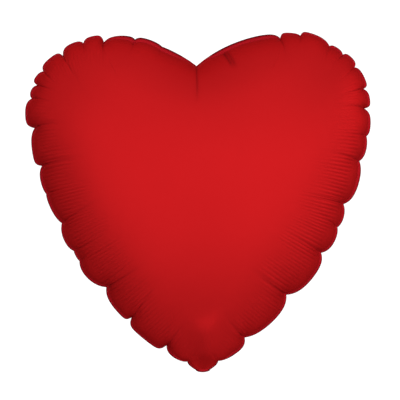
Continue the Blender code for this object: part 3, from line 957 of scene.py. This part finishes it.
class BALLOON_OT_valve(bpy.types.Operator):
    """Build the clear films of the one-way valve"""

    bl_idname = "balloon.valve"
    bl_label = "Valve Films"

    def execute(self, context):
        scene = context.scene
        shape, relief, tail = scene.heart_shape, scene.film_relief, scene.tail_shape
        clear = named_material(clear_film, scene.balloon_finish)
        end = FOLD_Y * FOLD_ANGLE + tail.length - VALVE_SHORT
        front, back, flap = (
            build_valve_film(name, offset, low_run, high_run, shape, relief, tail, clear)
            for name, offset, low_run, high_run in (
                ("valve_front", VALVE_OFFSET, -VALVE_TOP, end),
                ("valve_back", -VALVE_OFFSET, -FLAP_START, end),
                ("valve_flap_sheet", -VALVE_OFFSET, -VALVE_TOP, -FLAP_START),
            )
        )
        fold_blend(front)
        fold_blend(back)
        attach(flap, "valve_flap")
        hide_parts("valve_front_film", "tail_valve_front_film")
        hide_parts("valve_back_film", "tail_valve_back_film")
        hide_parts("valve_flap_film")
        return {"FINISHED"}


class BALLOON_OT_foil_sheets(bpy.types.Operator):
    """Build the front and back foil sheets with their tail plies"""

    bl_idname = "balloon.foil_sheets"
    bl_label = "Foil Sheets"

    def execute(self, context):
        scene = context.scene
        shape, relief, tail = scene.heart_shape, scene.film_relief, scene.tail_shape
        foil = named_material(satin_foil, scene.balloon_finish)
        for name, side, nodes in (
            ("front_foil_sheet", -1, ("front_panel", "tail_front_ply")),
            ("back_foil_sheet", 1, ("back_panel", "tail_back_ply")),
        ):
            sheet = build_foil_sheet(name, side, shape, relief, tail, foil)
            fold_blend(sheet)
            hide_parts(*nodes)
        return {"FINISHED"}


class BALLOON_OT_stage(bpy.types.Operator):
    """Set up the pale studio, its lights and the camera"""

    bl_idname = "balloon.stage"
    bl_label = "Stage"

    def execute(self, context):
        scene = context.scene
        studio = scene.balloon_studio
        build_studio(scene.balloon_finish)
        add_lights(studio)
        add_camera(scene, studio)
        return {"FINISHED"}


def build_studio(finish):
    """A round pale studio with its floor swept up into its wall."""
    bpy.ops.object.select_all(action="DESELECT")
    bpy.ops.mesh.primitive_cylinder_add(vertices=96, radius=5, depth=6, location=(0, 0, 1.8))
    studio = bpy.context.active_object
    studio.name = "studio_floor_and_wall"
    bpy.ops.object.transform_apply(location=True)
    mesh = studio.data
    bpy.ops.object.mode_set(mode="EDIT")
    bpy.ops.mesh.select_all(action="DESELECT")
    bpy.ops.object.mode_set(mode="OBJECT")
    for face in mesh.polygons:
        face.select = face.normal.z > 0.9
    bpy.ops.object.mode_set(mode="EDIT")
    bpy.ops.mesh.delete(type="FACE")
    bpy.ops.object.mode_set(mode="OBJECT")
    low = min(vertex.co.z for vertex in mesh.vertices)
    for edge in mesh.edges:
        edge.select = all(mesh.vertices[index].co.z < low + 0.01 for index in edge.vertices)
    bpy.ops.object.mode_set(mode="EDIT")
    bpy.ops.mesh.bevel(offset=2.0, segments=16)
    bpy.ops.mesh.select_all(action="SELECT")
    bpy.ops.mesh.flip_normals()
    bpy.ops.object.mode_set(mode="OBJECT")
    mesh.shade_smooth()
    material, tree, shader = new_material("white painted studio")
    paint = from_hex(finish.floor)
    shader.inputs["Base Color"].default_value = paint
    shader.inputs["Roughness"].default_value = 0.9
    seen = add_node(tree, "ShaderNodeLightPath").outputs["Is Camera Ray"]
    glow = add_node(tree, "ShaderNodeEmission", {"Color": paint, "Strength": 1.3})
    dim = add_node(tree, "ShaderNodeBsdfDiffuse", {"Color": (0.32, 0.32, 0.32, 1)})
    mix = add_node(tree, "ShaderNodeMixShader", {"Fac": seen, 1: dim.outputs[0], 2: glow.outputs[0]})
    tree.links.new(mix.outputs[0], tree.nodes["Material Output"].inputs["Surface"])
    mesh.materials.append(material)


def add_lights(studio):
    """Soft boxes: two low in front, one above them, and weaker ones at the sides and behind."""
    aim = Vector((0, 0, studio.aim_z))
    for name, place, size, power in SOFT_BOXES:
        light = bpy.data.lights.new(name, "AREA")
        light.shape = "DISK"
        light.size = size
        light.energy = power
        lamp = bpy.data.objects.new(name, light)
        lamp.location = place
        lamp.rotation_euler = (aim - Vector(place)).to_track_quat("-Z", "Y").to_euler()
        bpy.context.scene.collection.objects.link(lamp)


def add_camera(scene, studio):
    """A long lens square to the front of the heart, turned a little about its own axis."""
    lens = bpy.data.cameras.new("camera")
    lens.sensor_width = 36
    lens.lens = 36 * studio.distance / studio.frame
    camera = bpy.data.objects.new("camera", lens)
    square = Matrix.Rotation(math.pi / 2, 4, "X") @ Matrix.Rotation(-studio.tilt, 4, "Z")
    camera.matrix_world = Matrix.Translation((studio.aim_x, -studio.distance, studio.aim_z)) @ square
    scene.collection.objects.link(camera)
    scene.camera = camera
    world = scene.world or bpy.data.worlds.new("studio")
    scene.world = world
    world.use_nodes = True
    world.node_tree.nodes["Background"].inputs["Color"].default_value = (1, 1, 1, 1)
    world.node_tree.nodes["Background"].inputs["Strength"].default_value = WORLD_GLOW
    scene.view_settings.view_transform = "Standard"


class BALLOON_PT_panel(bpy.types.Panel):
    """Balloon tools in the sidebar"""

    bl_label = "Heart Foil Balloon"
    bl_idname = "BALLOON_PT_panel"
    bl_space_type = "VIEW_3D"
    bl_region_type = "UI"
    bl_category = "Balloon"

    def draw(self, context):
        for step in STEPS:
            self.layout.operator(step)


STEPS = ["balloon.foil_sheets", "balloon.seals", "balloon.valve", "balloon.stage"]
GROUPS = {
    "heart_shape": HeartShape,
    "film_relief": FilmRelief,
    "tail_shape": TailShape,
    "balloon_finish": Finish,
    "balloon_studio": Studio,
}
CLASSES = [
    *GROUPS.values(), BALLOON_OT_foil_sheets, BALLOON_OT_seals, BALLOON_OT_valve, BALLOON_OT_stage,
    BALLOON_PT_panel,
]


def register():
    for item in CLASSES:
        bpy.utils.register_class(item)
    for name, group in GROUPS.items():
        setattr(bpy.types.Scene, name, PointerProperty(type=group))


def unregister():
    for name in GROUPS:
        delattr(bpy.types.Scene, name)
    for item in reversed(CLASSES):
        bpy.utils.unregister_class(item)


def main():
    """Build everything in order."""
    register()
    for step in STEPS:
        group, name = step.split(".")
        getattr(getattr(bpy.ops, group), name)()


if __name__ == "__main__":
    main()
